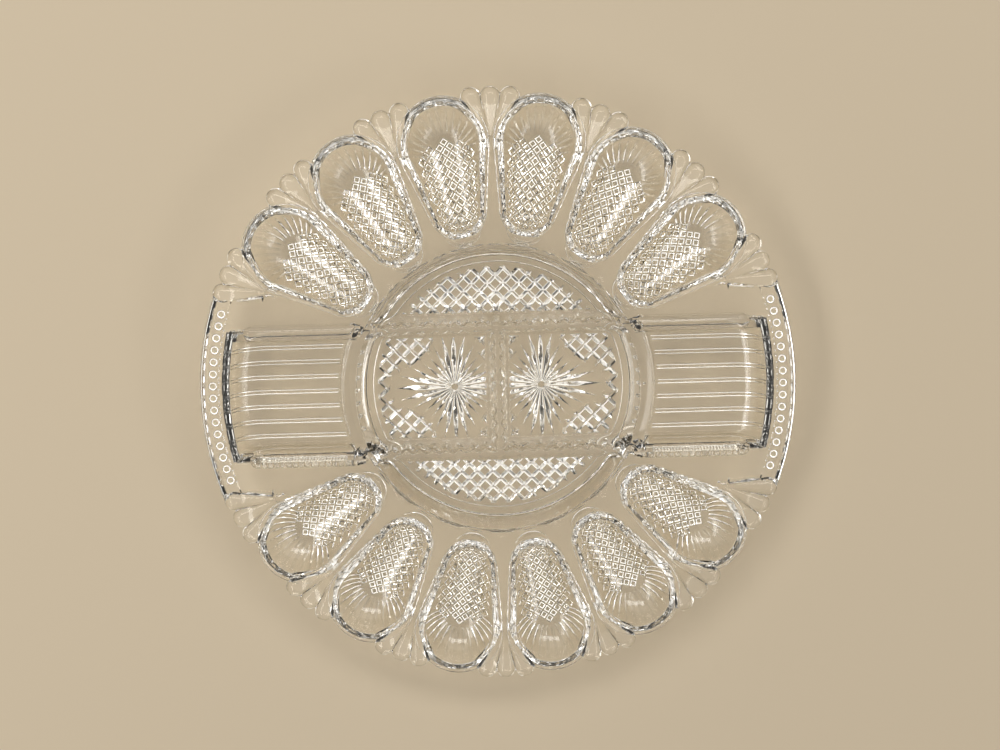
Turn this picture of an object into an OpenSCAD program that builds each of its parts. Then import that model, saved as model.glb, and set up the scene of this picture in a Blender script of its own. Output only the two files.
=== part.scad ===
// Round pressed-glass platter for deviled eggs and relishes.
// Two rows of six egg cups stand round a divided well, with a long trough at each handle.
// X runs through the handles, Y through the middle of each row of cups, and Z is up.
// The origin is on the table, under the middle of the plate.

/* [Plate] */
// Diameter of the circle that the whole plate fits in
plate_d = 285; // [260:5:310]
// Height of the foot ring
foot_h = 2; // [1.5:0.25:4]
// Thickness of the glass in the floors and decks
glass_t = 4.5; // [3.75:0.25:5.25]
// Depth of the well, from the deck down to the well's floor
well_depth = 14.5; // [12:0.5:18]

/* [Well] */
// Radius of the well's floor
well_floor_r = 64; // [56:1:72]
// How far the well's wall leans out between floor and deck
well_lean = 3.5; // [2:0.5:5]
// Width of the flat ring on top of the well's wall
well_crest_w = 3; // [2.5:0.25:4]
// Radius of the scallops that the deck makes round the well, one for each cup
scallop_r = 40.7; // [34:0.5:46]
// Least distance from a scallop to the well's edge
scallop_gap = 0.5; // [0.25:0.25:1.5]
// Step down from the scallops to the well's crest
scallop_h = 1; // [0.5:0.25:1.5]
// Width of each divider where it meets the floor
divider_w = 9; // [7:0.5:11]
// Height of the dividers above the floor
divider_h = 13; // [9:0.5:14]
// Radius of the rounded top of the dividers
divider_crest_r = 1.4; // [1:0.1:2]
// Distance between neighbouring cuts of the diamond lattice
lattice_pitch = 5.4; // [5:0.2:8]
// Width of one lattice cut
lattice_cut_w = 3.6; // [2:0.2:4]
// Depth of the lattice and starburst cuts
floor_cut_h = 1.3; // [0.8:0.1:1.6]
// Middle of each starburst, as a share of the well floor's radius
burst_share = 0.33; // [0.28:0.01:0.38]
// Number of rays in a whole starburst
burst_rays = 28; // [16:2:32]
// Radius at which the rays begin
burst_start_r = 8; // [8:0.5:10]
// Width of one ray
burst_cut_w = 1.6; // [1:0.1:1.7]

/* [Egg cups] */
// Cups in each row
cups_per_row = 6; // [6]
// Distance of the cups' wide ends inside the plate's edge
cup_inset = 2.2; // [1.5:0.1:4]
// Gap between neighbouring cups at their wide ends
cup_gap = 1.6; // [1.2:0.1:2.4]
// Width of the deck between neighbouring cups at their narrow ends
web_w = 5.7; // [4:0.1:8]
// Least distance between a last cup and the rail beside it
corner_w = 3.2; // [2:0.1:5]
// Height of the egg's middle line above the cup's rim
egg_draft = 2; // [1:0.5:3]
// Width of the cup's flat land at the wide end
land_wide_w = 4.6; // [4:0.1:5.4]
// Width of the cup's flat land at the narrow end
land_narrow_w = 3; // [2:0.1:3.4]
// Height of the land above the deck
land_h = 2; // [1:0.25:3]
// Depth of the half-moon between a cup and the well
moon_w = 6; // [5:0.5:7]
// Length of the half-moon
moon_len = 17; // [14:0.5:19]
// Drop from the land to the half-moon
moon_drop = 1; // [0.5:0.1:1.5]

/* [Fans] */
// Angle between neighbouring petals' beads, seen from the plate's middle
petal_angle = 3.8; // [3.5:0.1:4.2]
// How far neighbouring beads run into each other
bead_merge = 0.3; // [0.2:0.1:0.6]
// Radius of the petals where they meet
petal_root_r = 1.4; // [1:0.1:1.8]
// Height of the petals above the deck
petal_h = 2.5; // [1.5:0.25:3.5]
// Distance of the beads' ends inside the plate's diameter
bead_inset = 0.4; // [0.2:0.1:1]
// Width of the web that joins the petals to the deck
neck_w = 7; // [5:0.5:8]

/* [Troughs] */
// Width of the trough's floor
trough_floor_w = 50; // [44:0.5:56]
// How far each side wall leans out between floor and deck
trough_lean = 2; // [1:0.25:3]
// Depth of the trough, which is the radius of its rounded end too
trough_depth = 13.4; // [11:0.2:14]
// Width of the deck and handle between the trough's far edge and the plate's edge
trough_rim_w = 15.5; // [13:0.5:20]
// Foot of the trough's near wall, out from the well's ring
trough_near_w = 5; // [4:0.5:7]
// Width left on top of the trough's near wall
trough_near_crest_w = 2.5; // [2:0.25:3.5]
// Number of ribs under the trough
rib_count = 7; // [3:1:7]
// Distance between neighbouring ribs
rib_pitch = 7.2; // [5:0.2:7.4]
// Radius of the half-round ribs
rib_r = 1; // [0.6:0.1:1.3]

/* [Rails] */
// Width of the rails along the troughs
rail_w = 8; // [6.5:0.5:9]
// Height of the rails above the deck
rail_h = 2.5; // [1.5:0.25:3.5]
// Distance from the rail's round end to the trough's far edge
rail_setback = 7.6; // [5:0.2:12]

/* [Handles] */
// Distance of the handles' edges inside the plate's circle
handle_inset = 1.6; // [0.8:0.2:2.4]
// Width of the raised band at each handle
band_w = 9; // [8:0.5:12]
// Height of the band above the deck
band_h = 1; // [0.5:0.25:1.5]
// Radius of the rolled lip on the band's outer edge
lip_r = 1.5; // [1:0.1:2]
// Radius of the beads under the handles
grip_bead_r = 2; // [1.5:0.1:2.4]
// Distance of the beads' middles inside the handle's edge
grip_bead_inset = 5.5; // [4:0.5:7]
// Distance between neighbouring beads
grip_bead_pitch = 5.8; // [5:0.1:8]
// Distance between a handle's end and the middle line of the last petal's bead
handle_end_gap = 1.8; // [1:0.1:2.4]

/* [Hidden] */
$fn = 72;
// Overrun of every cut
over = 1;
// Step that keeps a flat flank just inside the rounds that it joins
ease = 0.03;
// Depth to which a piece is let into its neighbour before it is cut to it
seat = 0.8;
// Inner and outer edges of the foot ring, measured from the well's floor edge
foot_in_w = 4;
foot_out_w = 2;
// Edge that the floor cuts keep clear of
cut_margin = 1;
// Reach of the petals' web past their roots
neck_reach = 5;
// Reach of the block over a fan, as a share of the angle to the outer petals' middle lines
core_share = 1.25;
// Edge of the corner decks inside the plate's edge
corner_inset = 9;

plate_r = plate_d / 2;
floor_z = foot_h + glass_t;
deck_z = floor_z + well_depth;
deck_low_z = deck_z - glass_t;
rim_z = deck_z + land_h;
well_top_r = well_floor_r + well_lean;
ring_r = well_top_r + well_crest_w;
top_z = rim_z + petal_h + band_h + over;

// Troughs and rails, which the rows of cups leave room for
trough_end = plate_r - trough_rim_w;
trough_floor_z = deck_z - trough_depth;
trough_half = trough_floor_w / 2;
bend_r = trough_end - trough_depth;
rail_in_y = trough_half + trough_lean * (deck_low_z - trough_floor_z) / trough_depth;
rail_y = rail_in_y + rail_w / 2;
rail_end = trough_end - rail_setback - rail_w / 2;
rail_dome_z = deck_z + rail_h - rail_w / 2;

// Egg cups: they fill the rows, from the well to the rim and from rail to rail
narrow_from = ring_r + moon_w - land_narrow_w;
cup_pitch = 2 * fitted_half(0, 90 / cups_per_row, 30);
cup_narrow_r = narrow_r_at(cup_pitch / 2);
cup_end_r = plate_r - cup_inset;
egg_narrow_at = narrow_from + cup_narrow_r;
egg_wide_at = (cup_end_r + cup_gap / 2) / (1 + sin(cup_pitch / 2));
cup_wide_r = cup_end_r - egg_wide_at;
egg_narrow_r = cup_narrow_r - land_narrow_w;
egg_wide_r = cup_wide_r - land_wide_w;
egg_z = rim_z + egg_draft;
shell_narrow_r = egg_narrow_r + glass_t;
shell_wide_r = egg_wide_r + glass_t;
moon_r = (pow(moon_len / 2, 2) + pow(moon_w, 2)) / (2 * moon_w);
moon_at = ring_r + moon_r - seat;
scallop_at = well_top_r + scallop_gap + scallop_r;

// Fans, which open where two cups come closest
bead_at = plate_r - bead_inset;
bead_r = (bead_at * sin(petal_angle / 2) + bead_merge / 2) / (1 + sin(petal_angle / 2));
fan_at = bead_at - bead_r;
fan_root = egg_wide_at * cos(cup_pitch / 2);
petal_z = deck_z + petal_h - bead_r;
web_end = fan_root - seat;
last_fan = cup_pitch * cups_per_row / 2;

// Handles
handle_r = plate_r - handle_inset;
handle_in_r = norm([rail_end, rail_y]);
handle_half = 90 - last_fan - petal_angle - asin(handle_end_gap / fan_at);

// Colour of the glass in this light
glass = [0.93, 0.89, 0.76];
glass_deep = [0.86, 0.8, 0.62];

function cup_angle(i) = (i <= cups_per_row ? 90 : 270)
    + ((i - 1) % cups_per_row - (cups_per_row - 1) / 2) * cup_pitch;
function fan_angle(i) = (i <= cups_per_row + 1 ? 90 : 270)
    + ((i - 1) % (cups_per_row + 1) - cups_per_row / 2) * cup_pitch;
function web_angle(i) = (i < cups_per_row ? 90 : 270)
    + ((i - 1) % (cups_per_row - 1) - (cups_per_row - 2) / 2) * cup_pitch;

// Radius of the cups' narrow ends when neighbours stand 2 * half apart and leave web_w between them
function narrow_r_at(half) = (narrow_from * sin(half) - web_w / 2) / (1 - sin(half));
// Clear distance between a last cup's narrow end and the rail beside it
function rail_gap(half) = (narrow_from + narrow_r_at(half)) * cos((cups_per_row - 1) * half)
    - narrow_r_at(half) - rail_y - rail_w / 2;
// Half of the cups' pitch, closed in on by halving, at which that distance is corner_w
function fitted_half(low, high, turns) = turns == 0 ? (low + high) / 2
    : rail_gap((low + high) / 2) > corner_w ? fitted_half((low + high) / 2, high, turns - 1)
    : fitted_half(low, (low + high) / 2, turns - 1);
function flank(span, ra, rb) = (ra - rb) / span;
function on_circle(r, a) = [r * cos(a), r * sin(a)];

cups = [for (i = [1 : 2 * cups_per_row]) str("egg_cup_", i)];
fans = [for (i = [1 : 2 * cups_per_row + 2]) str("fan_", i)];
webs = [for (i = [1 : 2 * cups_per_row - 2]) str("deck_web_", i)];
corners = [for (i = [1 : 4]) str("corner_deck_", i)];
sides = ["right", "left"];
ends = ["upper", "lower"];

// Upright prism over two circles and the flanks between them
module pear_prism(xa, ra, xb, rb, z0, z1) {
    c = flank(xb - xa, ra, rb);
    s = sqrt(1 - c * c);
    translate([0, 0, z0]) {
        translate([xa, 0, 0]) cylinder(r = ra, h = z1 - z0);
        translate([xb, 0, 0]) cylinder(r = rb, h = z1 - z0);
        linear_extrude(z1 - z0)
            polygon([
                [xa + (ra - ease) * c, -(ra - ease) * s], [xb + (rb - ease) * c, -(rb - ease) * s],
                [xb + (rb - ease) * c, (rb - ease) * s], [xa + (ra - ease) * c, (ra - ease) * s]]);
    }
}

// Round pear lying along X: two spheres and the cone that touches both
module pear_solid(xa, ra, xb, rb) {
    c = flank(xb - xa, ra, rb);
    s = sqrt(1 - c * c);
    translate([xa, 0, 0]) sphere(r = ra);
    translate([xb, 0, 0]) sphere(r = rb);
    translate([xa + ra * c, 0, 0]) rotate([0, 90, 0])
        cylinder(h = xb - xa + (rb - ra) * c, r1 = ra * s - ease, r2 = rb * s - ease);
}

module tube(r_in, r_out, z0, z1) {
    translate([0, 0, z0]) difference() {
        cylinder(r = r_out, h = z1 - z0);
        translate([0, 0, -over]) cylinder(r = r_in, h = z1 - z0 + 2 * over);
    }
}

// Wedge of the plate, from angle a0 to angle a1, less than a half turn
module wedge(a0, a1, z0, z1) {
    far = 2 * plate_r;
    translate([0, 0, z0]) linear_extrude(z1 - z0)
        polygon([[0, 0], on_circle(far, a0), on_circle(far, (a0 + a1) / 2), on_circle(far, a1)]);
}

// Everything that the well's ring takes up, which its neighbours are cut to
module well_form() {
    rotate_extrude() polygon([
        [0, foot_h - over], [well_floor_r + foot_out_w, foot_h - over],
        [well_floor_r + foot_out_w, foot_h], [well_floor_r + well_crest_w, foot_h],
        [ring_r, deck_low_z], [ring_r, top_z], [0, top_z]]);
}

module well_space() {
    rotate_extrude() polygon([
        [0, floor_z], [well_floor_r, floor_z], [well_top_r, deck_z], [0, deck_z]]);
}

module well_wall() {
    color(glass) difference() {
        rotate_extrude() polygon([
            [well_floor_r, foot_h], [well_floor_r + well_crest_w, foot_h], [ring_r, deck_low_z],
            [ring_r, deck_z], [well_top_r, deck_z], [well_floor_r, floor_z]]);
        for (s = [0, 180]) rotate(s) row_crest();
    }
}

// Shallow step on top of the well's wall, with a scallop left standing before each cup of a row
module row_crest() {
    difference() {
        translate([-plate_r, rail_y + rail_w / 2, deck_z - scallop_h]) cube([plate_d, plate_r, top_z]);
        for (i = [1 : cups_per_row]) rotate(cup_angle(i))
            translate([scallop_at, 0, 0]) cylinder(r = scallop_r, h = 2 * top_z);
    }
}

module foot_ring() {
    color(glass) tube(well_floor_r - foot_in_w, well_floor_r + foot_out_w, 0, foot_h);
}

module floor_disc() {
    translate([0, 0, foot_h]) cylinder(r = well_floor_r, h = glass_t);
}

// One V-shaped cut in the underside of a floor, running along Y
module floor_cut(w, len) {
    rotate([90, 0, 0]) linear_extrude(len, center = true)
        polygon([[-w / 2, -over], [-w / 2, 0], [0, floor_cut_h], [w / 2, 0], [w / 2, -over]]);
}

// Space for the cuts: inside the foot ring, and clear of the dividers
module cut_zone(x0, x1, y0, y1) {
    intersection() {
        cylinder(r = well_floor_r - foot_in_w - cut_margin, h = floor_z);
        translate([x0 + cut_margin, y0 + cut_margin, 0])
            cube([x1 - x0 - 2 * cut_margin, y1 - y0 - 2 * cut_margin, floor_z]);
    }
}

// Floor of a side segment, with a diamond lattice cut into its underside
module segment_floor() {
    color(glass_deep) difference() {
        intersection() {
            floor_disc();
            translate([-well_floor_r, rail_y, 0]) cube([2 * well_floor_r, well_floor_r, floor_z]);
        }
        intersection() {
            cut_zone(-well_floor_r, well_floor_r, rail_y + divider_w / 2, well_floor_r);
            lattice();
        }
    }
}

module lattice() {
    count = ceil(well_floor_r / lattice_pitch);
    translate([0, 0, foot_h]) for (a = [-45, 45], i = [-count : count])
        rotate(a) translate([i * lattice_pitch, 0, 0]) floor_cut(lattice_cut_w, 2 * well_floor_r);
}

// Floor of a middle compartment, with a starburst cut into its underside
module middle_floor() {
    ray_len = well_floor_r;
    color(glass_deep) difference() {
        intersection() {
            floor_disc();
            translate([0, -rail_y, 0]) cube([well_floor_r, 2 * rail_y, floor_z]);
        }
        intersection() {
            cut_zone(divider_w / 2, well_floor_r, divider_w / 2 - rail_y, rail_y - divider_w / 2);
            translate([burst_share * well_floor_r, 0, foot_h]) for (i = [0 : burst_rays - 1])
                rotate(i * 360 / burst_rays) translate([0, burst_start_r + ray_len / 2, 0])
                    floor_cut(burst_cut_w, ray_len);
        }
    }
}

// Cross-section of a divider: a wide foot, straight flanks and a round crest
module divider_bar(len) {
    crest_z = divider_h - divider_crest_r;
    lean = atan((divider_w / 2 - divider_crest_r) / crest_z);
    crest_steps = 8;
    translate([-len / 2, 0, floor_z]) rotate([90, 0, 90]) linear_extrude(len)
        polygon(concat([[-divider_w / 2, 0], [divider_w / 2, 0]],
            [for (i = [0 : crest_steps])
                [0, crest_z] + on_circle(divider_crest_r, lean + i * (180 - 2 * lean) / crest_steps)]));
}

module side_divider() {
    color(glass) intersection() {
        translate([0, rail_y, 0]) divider_bar(3 * well_floor_r);
        well_space();
    }
}

module cross_divider() {
    color(glass) difference() {
        rotate(90) divider_bar(2 * rail_y);
        for (s = [-1, 1]) translate([0, s * rail_y, 0]) divider_bar(3 * well_floor_r);
    }
}

// Space over a trough, or with the thickness of the glass added, its whole body
module trough_form(grow, z_top) {
    low = trough_floor_z - grow;
    bend = trough_depth + grow;
    slope = trough_lean / trough_depth;
    foot_half = trough_half + grow - slope * grow;
    top_half = trough_half + grow + slope * (z_top - trough_floor_z);
    intersection() {
        rotate([90, 0, 90]) linear_extrude(plate_r)
            polygon([[-foot_half, low], [foot_half, low], [top_half, z_top], [-top_half, z_top]]);
        // The far end is rounded about the plate's middle, with the depth as its radius
        union() {
            translate([0, 0, low]) cylinder(r = bend_r, h = z_top + over - low);
            translate([0, 0, deck_z]) rotate_extrude() translate([bend_r, 0]) circle(r = bend);
            translate([0, 0, deck_z]) cylinder(r = bend_r + bend, h = z_top + over - deck_z);
        }
    }
}

// The sloping near wall of a trough, against the well's ring
module near_wall() {
    rotate_extrude() polygon([
        [0, trough_floor_z - glass_t], [ring_r + trough_near_w, trough_floor_z - glass_t],
        [ring_r + trough_near_w, trough_floor_z], [ring_r + trough_near_crest_w, deck_z],
        [ring_r + trough_near_crest_w, top_z], [0, top_z]]);
}

module trough_ribs() {
    low = trough_floor_z - glass_t;
    bend = trough_depth + glass_t;
    turn = 75;
    for (i = [0 : rib_count - 1]) {
        y = (i - (rib_count - 1) / 2) * rib_pitch;
        bend_x = sqrt(bend_r * bend_r - y * y);
        translate([0, y, low]) rotate([0, 90, 0]) cylinder(r = rib_r, h = bend_x);
        translate([bend_x, y, deck_z]) rotate([90, 0, 0]) rotate([0, 0, -90])
            rotate_extrude(angle = turn) translate([bend, 0]) circle(r = rib_r);
    }
}

module trough() {
    color(glass) difference() {
        union() {
            trough_form(glass_t, deck_z);
            trough_ribs();
        }
        difference() {
            trough_form(0, deck_z + over);
            near_wall();
        }
        well_form();
        for (s = [-1, 1]) scale([1, s, 1]) rail_bar(top_z);
    }
}

// Bar with a round far end, from the deck's underside up to z1
module rail_bar(z1) {
    translate([0, rail_y, deck_low_z]) {
        translate([0, -rail_w / 2, 0]) cube([rail_end, rail_w, z1 - deck_low_z]);
        translate([rail_end, 0, 0]) cylinder(r = rail_w / 2, h = z1 - deck_low_z);
    }
}

module rail() {
    dome_r = rail_w / 2 - ease;
    color(glass) difference() {
        union() {
            rail_bar(rail_dome_z);
            translate([0, rail_y, rail_dome_z]) {
                rotate([0, 90, 0]) cylinder(r = dome_r, h = rail_end);
                translate([rail_end, 0, 0]) sphere(r = dome_r);
            }
        }
        translate([0, 0, -over]) cube([plate_r, plate_r, deck_low_z + over]);
        trough_form(0, top_z);
        well_form();
        rotate(cup_angle(1)) cup_outline();
    }
}

// Outline of a cup with the tongue that carries its half-moon, as a tall cutter
module cup_outline() {
    cup_block(-over, top_z);
}

module cup_block(z0, z1) {
    pear_prism(egg_narrow_at, cup_narrow_r, egg_wide_at, cup_wide_r, z0, z1);
    translate([moon_at, 0, z0]) cylinder(r = moon_r, h = z1 - z0);
}

module half_moon() {
    intersection() {
        translate([moon_at, 0, rim_z - moon_drop]) cylinder(r = moon_r, h = top_z);
        translate([0, -moon_len, 0]) cube([ring_r + moon_w, 2 * moon_len, 2 * top_z]);
    }
}

module egg_cup(i) {
    color(glass) rotate(cup_angle(i)) difference() {
        union() {
            cup_block(deck_low_z, rim_z);
            difference() {
                translate([0, 0, egg_z])
                    pear_solid(egg_narrow_at, shell_narrow_r, egg_wide_at, shell_wide_r);
                translate([0, -plate_r, deck_low_z + seat]) cube([2 * plate_r, plate_d, 2 * top_z]);
            }
        }
        translate([0, 0, egg_z]) pear_solid(egg_narrow_at, egg_narrow_r, egg_wide_at, egg_wide_r);
        half_moon();
        well_form();
    }
}

// One of a fan's petals, which opens from the gap between two cups and ends in a round bead
module petal(k) {
    tip = on_circle(fan_at, k * petal_angle) - [fan_root, 0];
    translate([fan_root, 0, petal_z]) rotate(atan2(tip[1], tip[0]))
        pear_solid(petal_root_r, petal_root_r, norm(tip), bead_r);
}

module petals() {
    for (k = [-1, 0, 1]) petal(k);
}

// Block over a fan, which reaches past the middle lines of its outer petals
module fan_core(z0, z1) {
    near = [fan_root + neck_reach / 2, neck_w / 4];
    far = on_circle(fan_at, core_share * petal_angle);
    translate([0, 0, z0]) linear_extrude(z1 - z0)
        polygon([[near[0], -near[1]], [far[0], -far[1]], far, near]);
}

module fan_neck(z0, z1) {
    translate([web_end, -neck_w / 2, z0]) cube([neck_reach + seat, neck_w, z1 - z0]);
}

module fan(i) {
    color(glass) rotate(fan_angle(i)) difference() {
        union() {
            petals();
            fan_neck(deck_low_z, deck_z);
        }
        for (s = [-1, 1]) rotate(s * cup_pitch / 2) cup_outline();
    }
}

module deck_web(i) {
    color(glass_deep) rotate(web_angle(i)) difference() {
        intersection() {
            tube(ring_r - seat, web_end, deck_low_z, deck_z);
            wedge(-cup_pitch / 2, cup_pitch / 2, 0, top_z);
        }
        well_form();
        for (s = [-1, 1]) rotate(s * cup_pitch / 2) cup_outline();
    }
}

// Deck between the last cup, the last fan, the rail and the handle, for the upper right corner
module corner_deck() {
    last_cup = cup_angle(1);
    low = deck_low_z - over;
    color(glass_deep) difference() {
        intersection() {
            tube(ring_r - seat, plate_r - corner_inset, deck_low_z, deck_z);
            wedge(0, last_cup, 0, top_z);
            translate([0, trough_half, 0]) cube([plate_r, plate_r, top_z]);
        }
        rotate(last_cup) cup_outline();
        rotate(fan_angle(1)) {
            petal(-1);
            fan_neck(low, top_z);
            fan_core(low, top_z);
        }
        rail_bar(top_z);
        trough_form(glass_t, deck_z + over);
        handle_form(low, top_z);
        well_form();
    }
}

module handle_form(z0, z1) {
    intersection() {
        tube(handle_in_r, handle_r, z0, z1);
        wedge(-handle_half, handle_half, z0 - over, z1 + over);
    }
}

module handle() {
    grip_at = handle_r - grip_bead_inset;
    step = 2 * asin(grip_bead_pitch / 2 / grip_at);
    beads = floor((handle_half - step / 2) / step);
    color(glass) difference() {
        union() {
            handle_form(deck_low_z, deck_z);
            intersection() {
                tube(handle_r - band_w, handle_r, deck_z - seat, deck_z + band_h);
                wedge(-handle_half, handle_half, 0, top_z);
            }
            rotate(-handle_half) rotate_extrude(angle = 2 * handle_half)
                translate([handle_r - lip_r - ease, deck_z + band_h - lip_r / 2]) circle(r = lip_r);
            for (k = [-beads : beads]) rotate(k * step)
                translate([grip_at, 0, deck_low_z]) sphere(r = grip_bead_r);
        }
        trough_form(glass_t, deck_z + over);
        for (s = [-1, 1]) scale([1, s, 1]) {
            rotate(fan_angle(1)) petals();
            rail_bar(top_z);
        }
    }
}

module turned(s) {
    rotate(s == "left" ? 180 : 0) children();
}

foot_ring();
well_wall();
segment_floor();  // upper_floor
rotate(180) segment_floor();  // lower_floor
middle_floor();  // right_floor
rotate(180) middle_floor();  // left_floor
side_divider();  // upper_divider
rotate(180) side_divider();  // lower_divider
cross_divider();
for (s = sides) {
    turned(s) trough();
    turned(s) handle();
    for (e = ends) mirror([s == "left" ? 1 : 0, 0, 0]) mirror([0, e == "lower" ? 1 : 0, 0]) rail();
}
for (i = [1 : len(cups)]) egg_cup(i);
for (i = [1 : len(fans)]) fan(i);
for (i = [1 : len(webs)]) deck_web(i);
for (i = [1 : len(corners)]) mirror([i % 2 == 0 ? 1 : 0, 0, 0]) mirror([0, i > 2 ? 1 : 0, 0]) corner_deck();
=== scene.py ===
"""Clear pressed-glass platter for deviled eggs: the plate's skin, its glass, the floor and the light.

The plate is one closed skin. Its upper and lower faces are height functions over the plate's plan,
as the two halves of a glass mould are. The mesh follows the lines of the carving, and the normals
at its corners come from the same functions.
"""
import math

import bpy
import numpy as np
from mathutils import Matrix, Vector
from mathutils.geometry import delaunay_2d_cdt
from mathutils.kdtree import KDTree


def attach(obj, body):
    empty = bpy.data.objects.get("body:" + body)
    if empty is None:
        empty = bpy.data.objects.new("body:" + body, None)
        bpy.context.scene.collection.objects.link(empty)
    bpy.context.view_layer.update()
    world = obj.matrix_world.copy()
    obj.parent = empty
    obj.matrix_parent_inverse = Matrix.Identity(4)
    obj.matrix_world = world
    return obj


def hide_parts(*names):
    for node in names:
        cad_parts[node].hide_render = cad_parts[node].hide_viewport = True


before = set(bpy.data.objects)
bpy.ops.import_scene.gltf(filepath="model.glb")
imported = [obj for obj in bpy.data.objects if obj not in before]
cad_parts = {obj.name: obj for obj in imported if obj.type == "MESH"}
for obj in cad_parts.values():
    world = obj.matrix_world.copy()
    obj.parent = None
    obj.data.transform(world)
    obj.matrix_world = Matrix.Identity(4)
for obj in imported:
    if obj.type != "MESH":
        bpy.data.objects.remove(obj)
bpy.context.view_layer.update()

# Sizes in millimetres, as in the frame. In names R is a radius, Z a height above the table, H a rise
# or a drop, W a width, T a thickness, HALF half a width or half an angle, and AT or X a distance from
# the plate's middle.
MM = 0.001
PLATE_R = 142.5
FOOT_H = 2.0
GLASS_T = 4.5
WELL_DEPTH = 14.5
FLOOR_Z = FOOT_H + GLASS_T
DECK_Z = FLOOR_Z + WELL_DEPTH
DECK_LOW_Z = DECK_Z - GLASS_T
QUARTER = math.pi / 2
FAR = 1e3

# The well in the plate's middle, its dividers and the foot ring
WELL_R = 64.0
WELL_LEAN = 3.5
CREST_W = 3.0
WELL_TOP_R = WELL_R + WELL_LEAN
RING_R = WELL_TOP_R + CREST_W
FOOT_IN_R = WELL_R - 4.0
FOOT_OUT_R = WELL_R + 2.0
FOOT_SLOPE = 4
FOOT_ROUND = 0.8
FOOT_CLEAR = 0.1
DIVIDER_W = 9.0
DIVIDER_H = 13.0
CREST_R = 1.8
CREST_WAVE = 0.75
WAVE = 6.4
CROSS_SINK = 3
CROSS_END = 2

# The scalloped crest round the well: one lobe for each cup
LOBE_R = 40.7
LOBE_AT = 108.7
LOBE_HALF = 0.27
SCALLOP_H = 0.9
SCALLOP_OUT_R = 80

# Egg cups: a small ball near the well, a large ball near the rim and the cone that touches both
ROW = 6
LAND_H = 2.0
RIM_Z = DECK_Z + LAND_H
EGG_Z = RIM_Z + 2.0
EGG_RA = 10.477
EGG_RB = 16.9
EGG_XA = RING_R + 6.0 + EGG_RA
EGG_XB = 118.8
# The pears of the cavity, of the shell under it and of the flat land round it
CAVITY = (EGG_XA, EGG_RA, EGG_XB, EGG_RB)
SHELL = (EGG_XA, EGG_RA + GLASS_T, EGG_XB, EGG_RB + GLASS_T)
CUP_HALF = EGG_RB + 4.6
LAND = (EGG_XA, EGG_RA + 3.0, EGG_XB, CUP_HALF)
CUP_NEAR = CUP_HALF + 2
PITCH = 2 * math.asin((CUP_HALF + 0.8) / EGG_XB)
LAND_SLOPE = 5
LAND_SKIRT = 0.3

# The tongue at a cup's narrow end, with its half-moon hollow
MOON_R = 9.0208
MOON_AT = RING_R + MOON_R - 0.8
MOON_END = RING_R + 6.0
MOON_DROP = 1.0
MOON_DROP_W = 0.5
MOON_DISH = 1.6
MOON_DISH_W = 2.8
TONGUE_SLOPE = 4

# Fans of three petals between the cups, and the deck that carries them
BEAD_R = 4.705
ROOT_R = 1.4
FAN_R = PLATE_R - 0.4 - BEAD_R
FAN_ROOT = EGG_XB * math.cos(PITCH / 2)
PETAL_STEP = math.radians(3.8)
PETAL_Z = DECK_Z + 2.5 - BEAD_R
LAST_FAN = PITCH * ROW / 2
WEB_END = FAN_ROOT - 0.8
NECK_W = 7.0
NECK_END = FAN_ROOT + 5.0
CORNER_R = PLATE_R - 9.0

# Troughs, their ribs and their rails
TROUGH_DEPTH = 13.4
TROUGH_FLOOR_Z = DECK_Z - TROUGH_DEPTH
TROUGH_HALF = 25.0
TROUGH_LEAN = 2.0
TROUGH_END = 127.0
BEND_R = TROUGH_END - TROUGH_DEPTH
UNDER_BEND = TROUGH_DEPTH + GLASS_T
NEAR_FOOT = RING_R + 5.0
NEAR_TOP = RING_R + 2.5
TROUGH_FROM_R = RING_R - 1
RIB_PITCH = 7.2
RIB_COUNT = 7
RIB_R = 1.0
RIB_START = NEAR_FOOT + 2
RIB_END = BEND_R + UNDER_BEND * math.sin(math.radians(75))
RAIL_R = 4.0
RAIL_Y = TROUGH_HALF + TROUGH_LEAN * (TROUGH_DEPTH - GLASS_T) / TROUGH_DEPTH + RAIL_R
RAIL_START = RING_R - 0.5
RAIL_END = 119.4 - RAIL_R
RAIL_TOP = DECK_Z + 2.5

# Handles: a raised band with a rolled edge above, and a row of beads below
HANDLE_R = PLATE_R - 1.6
HANDLE_HALF = math.pi / 2 - LAST_FAN - PETAL_STEP - math.asin(1.8 / FAN_R)
BAND_R = HANDLE_R - 9.0
BAND_H = 1.0
BAND_SLOPE = 2.5
LIP_R = 1.5
LIP_AT = HANDLE_R - LIP_R
LIP_Z = DECK_Z + BAND_H - LIP_R / 2
GRIP_R = 2.0
GRIP_AT = HANDLE_R - 5.5
GRIP_STEP = 2 * math.asin(5.8 / 2 / GRIP_AT)
GRIPS = int((HANDLE_HALF - GRIP_STEP / 2) / GRIP_STEP)

# How the underside of the deck and of the well's wall thin out
THIN_FROM_R = 110
THIN_EDGE = 1.5
THIN_HANDLE = 2
THIN_CUPS = 1.2
WALL_THIN = 1.1

# How far past its edge a point still counts as on the deck, and as on a pear
ON_DECK = 1e-6
ON_PEAR = 1e-4

# Widths of the soft blends between faces
WELL_FLARE = 13.0
CROSS_FLARE = 6.0
WELL_FILLET = 4.0
WELL_BRIM = 1.2
WELL_UNDER_FILLET = 2.0
TROUGH_FLARE = 10.0
TROUGH_FILLET = 6.0
TROUGH_UNDER_FILLET = 4.0
TROUGH_BRIM = 1.0
LAND_BRIM = 0.8
SHELL_FILLET = 0.8
CAVITY_BRIM = 2.4

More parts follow.
